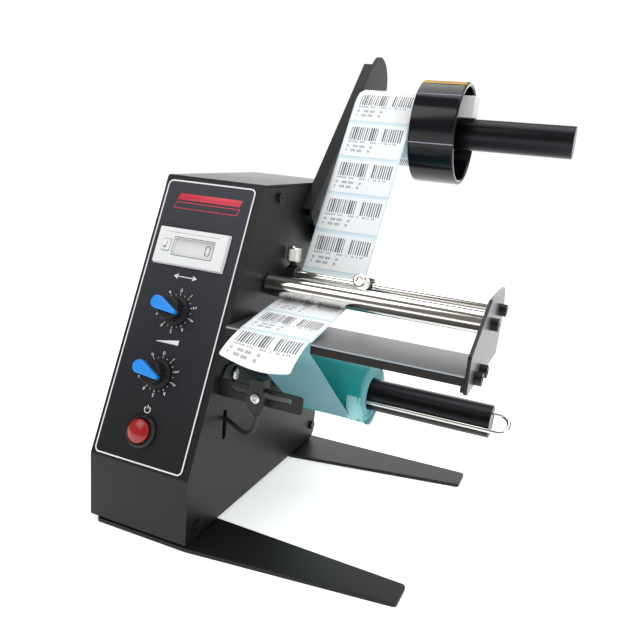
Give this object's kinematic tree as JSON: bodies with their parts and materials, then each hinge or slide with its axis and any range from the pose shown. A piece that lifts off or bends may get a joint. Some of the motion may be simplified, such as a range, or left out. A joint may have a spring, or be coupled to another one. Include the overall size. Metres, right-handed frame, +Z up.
{
  "type": "label dispenser",
  "caption": "Bench label dispenser: leaning roll arm and shaft, guide roller, sharp peel plate, label sensor and driven liner take-up on a sloping control housing.",
  "frame": {"origin": "on the surface that it stands on, in the middle of its overall box", "axes": "+X along the shafts towards their free ends, +Y to the back, +Z up; the panel faces -Y"},
  "size_m": [0.267, 0.2934, 0.3491],
  "materials": {
    "black_paint": "fine satin black powder coat",
    "overlay": "satin printed film, dark slate with a white outline",
    "bezel_white": "satin off-white moulding",
    "display": "grey display glass",
    "key_black": "satin black moulding",
    "pointer_blue": "satin blue moulding",
    "button_red": "glossy red dome",
    "black_anodised": "black anodised, satin",
    "chrome": "bright plated",
    "steel": "plain turned steel",
    "zinc": "bright zinc plate",
    "screw_black": "blackened steel",
    "gloss_black": "glossy black with a thin gold line",
    "block_white": "satin white moulding",
    "label_paper": "smooth white label paper with grey printed bars",
    "liner_paper": "glazed teal release paper",
    "core_board": "wound grey-brown board",
    "bush": "oiled bronze",
    "cable": "satin black sheath",
    "board_green": "green lacquered board",
    "core_iron": "varnished laminations",
    "motor_case": "plated can"
  },
  "bodies": {
    "machine": {"front_cover": "black_paint", "rear_shell": "black_paint", "left_side": "black_paint", "right_side": "black_paint", "tie_bars": "steel", "housing_screws": "screw_black", "front_foot": "black_paint", "rear_foot": "black_paint", "panel_overlay": "overlay", "counter_case": "bezel_white", "counter_window": "display", "potentiometers": "steel", "power_bezel": "key_black", "power_switch": "key_black", "roll_arm": "black_paint", "arm_spacers": "steel", "arm_screws": "screw_black", "roll_shaft": "black_anodised", "shaft_bolt": "screw_black", "roller_axle": "steel", "guide_rod": "chrome", "end_plate": "black_anodised", "end_screws": "screw_black", "peel_plate": "black_anodised", "label_web": "liner_paper", "labels": "label_paper", "liner_web": "liner_paper", "gear_motor": "motor_case", "motor_screws": "zinc", "sensor_bracket": "black_paint", "bracket_screw": "zinc", "sensor_lead": "cable", "control_board": "board_green", "transformer": "core_iron", "power_inlet": "key_black"},
    "length_control": {"length_knob": "key_black", "length_pointer": "pointer_blue", "length_spindle": "steel"},
    "speed_control": {"speed_knob": "key_black", "speed_pointer": "pointer_blue", "speed_spindle": "steel"},
    "reset_key": {"counter_reset": "key_black"},
    "power_key": {"power_button": "button_red"},
    "take_up": {"takeup_tube": "black_anodised", "takeup_end_plug": "key_black", "liner_roll": "liner_paper", "motor_shaft": "steel"},
    "clip": {"takeup_clip": "chrome"},
    "supply_roll": {"label_core": "core_board", "label_roll": "label_paper"},
    "roll_stop": {"roll_ring": "gloss_black", "ring_block": "block_white"},
    "roller": {"guide_roller": "chrome", "roller_bushes": "bush"},
    "left_guide": {"left_collar": "black_anodised"},
    "right_guide": {"right_collar": "black_anodised"},
    "left_thumb": {"left_thumb_screw": "chrome"},
    "right_thumb": {"right_thumb_screw": "chrome"},
    "sensor": {"sensor_body": "key_black", "sensor_screw": "zinc"}
  },
  "joints": [
    {"name": "length_turn", "type": "hinge", "parent": "machine", "child": "length_control", "pos_m": [-0.0942, -0.10324, 0.15162], "axis": [0, -0.9165, 0.4001], "range_deg": [-12, 288]},
    {"name": "speed_turn", "type": "hinge", "parent": "machine", "child": "speed_control", "pos_m": [-0.0945, -0.12129, 0.11029], "axis": [0, -0.9165, 0.4001], "range_deg": [-12, 288]},
    {"name": "reset_push", "type": "slide", "parent": "machine", "child": "reset_key", "axis": [0, 0.9165, -0.4001], "range_m": [0, 0.0006], "stiffness_N_per_m": 300, "springref_m": -0.001},
    {"name": "power_push", "type": "slide", "parent": "machine", "child": "power_key", "axis": [0, 0.9165, -0.4001], "range_m": [0, 0.003], "stiffness_N_per_m": 300, "springref_m": -0.002},
    {"name": "takeup_spin", "type": "hinge", "parent": "machine", "child": "take_up", "pos_m": [-0.0485, 0.00027, 0.0835], "axis": [1, 0, 0], "continuous": true},
    {"name": "roll_spin", "type": "hinge", "parent": "machine", "child": "supply_roll", "pos_m": [-0.0411, 0.08977, 0.2884], "axis": [1, 0, 0], "continuous": true},
    {"name": "roller_spin", "type": "hinge", "parent": "machine", "child": "roller", "pos_m": [-0.0504, -0.05093, 0.1693], "axis": [1, 0, 0], "continuous": true},
    {"name": "clip_pull", "type": "slide", "parent": "take_up", "child": "clip", "axis": [1, 0, 0], "range_m": [0, 0.145]},
    {"name": "ring_slide", "type": "slide", "parent": "machine", "child": "roll_stop", "axis": [1, 0, 0], "range_m": [0, 0.075]},
    {"name": "left_guide_slide", "type": "slide", "parent": "machine", "child": "left_guide", "axis": [1, 0, 0], "range_m": [-0.0008, 0]},
    {"name": "right_guide_slide", "type": "slide", "parent": "machine", "child": "right_guide", "axis": [1, 0, 0], "range_m": [0, 0.088]},
    {"name": "left_thumb_turn", "type": "hinge", "parent": "left_guide", "child": "left_thumb", "pos_m": [-0.0455, -0.02173, 0.1732], "axis": [0, 0, 1], "range_deg": [0, 360]},
    {"name": "right_thumb_turn", "type": "hinge", "parent": "right_guide", "child": "right_thumb", "pos_m": [0.0153, -0.02173, 0.1732], "axis": [0, -0.9397, 0.342], "range_deg": [0, 360]},
    {"name": "sensor_slide", "type": "slide", "parent": "machine", "child": "sensor", "axis": [1, 0, 0], "range_m": [-0.018, 0.018]}
  ],
  "couplings": [
    {"joint": "roll_spin", "follows": "takeup_spin", "ratio": 0.76667},
    {"joint": "roller_spin", "follows": "takeup_spin", "ratio": -2.9487}
  ]
}
